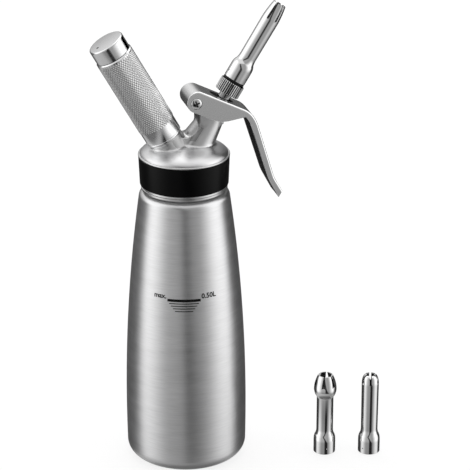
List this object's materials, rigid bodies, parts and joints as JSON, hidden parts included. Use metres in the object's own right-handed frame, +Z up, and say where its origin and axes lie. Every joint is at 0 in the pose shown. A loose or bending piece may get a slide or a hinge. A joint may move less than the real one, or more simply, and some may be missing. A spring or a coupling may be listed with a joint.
{
  "type": "whipped cream dispenser",
  "caption": "Whipped cream dispenser: spun bottle, screw-on cast head with a sprung lever valve, knurled gas charger holder and slotted decorating nozzles.",
  "frame": {"origin": "centre of the bottle's flat base, on the floor", "axes": "+Z up along the bottle's axis; the lever, the valve and the spare nozzles are to +X, the charger holder to -X; the posts lie in the XZ plane"},
  "size_m": [0.1852, 0.0837, 0.3094],
  "materials": {
    "brushed_aluminium": "brushed around the axis, satin",
    "cast_aluminium": "polished casting, satin",
    "knurled_aluminium": "diamond knurl, matt",
    "polished_steel": "polished stainless steel",
    "black_silicone": "smooth black silicone",
    "black_rubber": "moulded black rubber",
    "white_nylon": "natural nylon"
  },
  "bodies": {
    "bottle": {"bottle": "brushed_aluminium"},
    "head": {"head_body": "cast_aluminium", "silicone_band": "black_silicone", "head_gasket": "black_rubber", "pin_carrier": "polished_steel", "piercing_pin": "polished_steel", "port_seal": "black_rubber"},
    "charger_holder": {"charger_holder": "knurled_aluminium", "holder_end_cap": "brushed_aluminium", "gas_charger": "polished_steel"},
    "lever": {"lever": "cast_aluminium", "pivot_screw": "polished_steel", "pivot_sleeve": "polished_steel", "pivot_washer_near": "white_nylon", "pivot_washer_far": "white_nylon"},
    "valve": {"valve_stem": "polished_steel", "valve_seal": "black_rubber", "valve_foot": "polished_steel", "stem_o_ring": "black_rubber", "lever_collar": "polished_steel", "valve_spring": "polished_steel"},
    "adapter": {"adapter_ring": "polished_steel", "adapter_seal": "black_rubber"},
    "nozzle": {"nozzle_plain": "polished_steel"},
    "spare_tulip": {"spare_nozzle_tulip": "polished_steel"},
    "spare_star": {"spare_nozzle_star": "polished_steel"}
  },
  "joints": [
    {"name": "head_lift", "type": "slide", "parent": "bottle", "child": "head", "axis": [0, 0, 1], "range_m": [0, 0.045]},
    {"name": "holder_pull", "type": "slide", "parent": "head", "child": "charger_holder", "axis": [-0.4894, 0, 0.8721], "range_m": [0, 0.03]},
    {"name": "lever_press", "type": "hinge", "parent": "head", "child": "lever", "pos_m": [0.006, 0, 0.2484], "axis": [0, 1, 0], "range_deg": [0, 8], "stiffness_Nm_per_rad": 2, "springref_deg": -5.73},
    {"name": "valve_slide", "type": "slide", "parent": "head", "child": "valve", "axis": [-0.527, 0, -0.8499], "range_m": [0, 0.0026], "deforming": ["valve_spring"]},
    {"name": "adapter_turn", "type": "hinge", "parent": "valve", "child": "adapter", "pos_m": [0, 0, 0.205], "axis": [0.527, 0, 0.8499], "continuous": true},
    {"name": "nozzle_pull", "type": "slide", "parent": "adapter", "child": "nozzle", "axis": [0.527, 0, 0.8499], "range_m": [0, 0.012]},
    {"name": "tulip_lift", "type": "slide", "parent": "bottle", "child": "spare_tulip", "axis": [0, 0, 1], "range_m": [0, 0.03]},
    {"name": "star_lift", "type": "slide", "parent": "bottle", "child": "spare_star", "axis": [0, 0, 1], "range_m": [0, 0.03]}
  ],
  "couplings": [
    {"joint": "valve_slide", "follows": "lever_press", "m_per_rad": 0.0179}
  ]
}
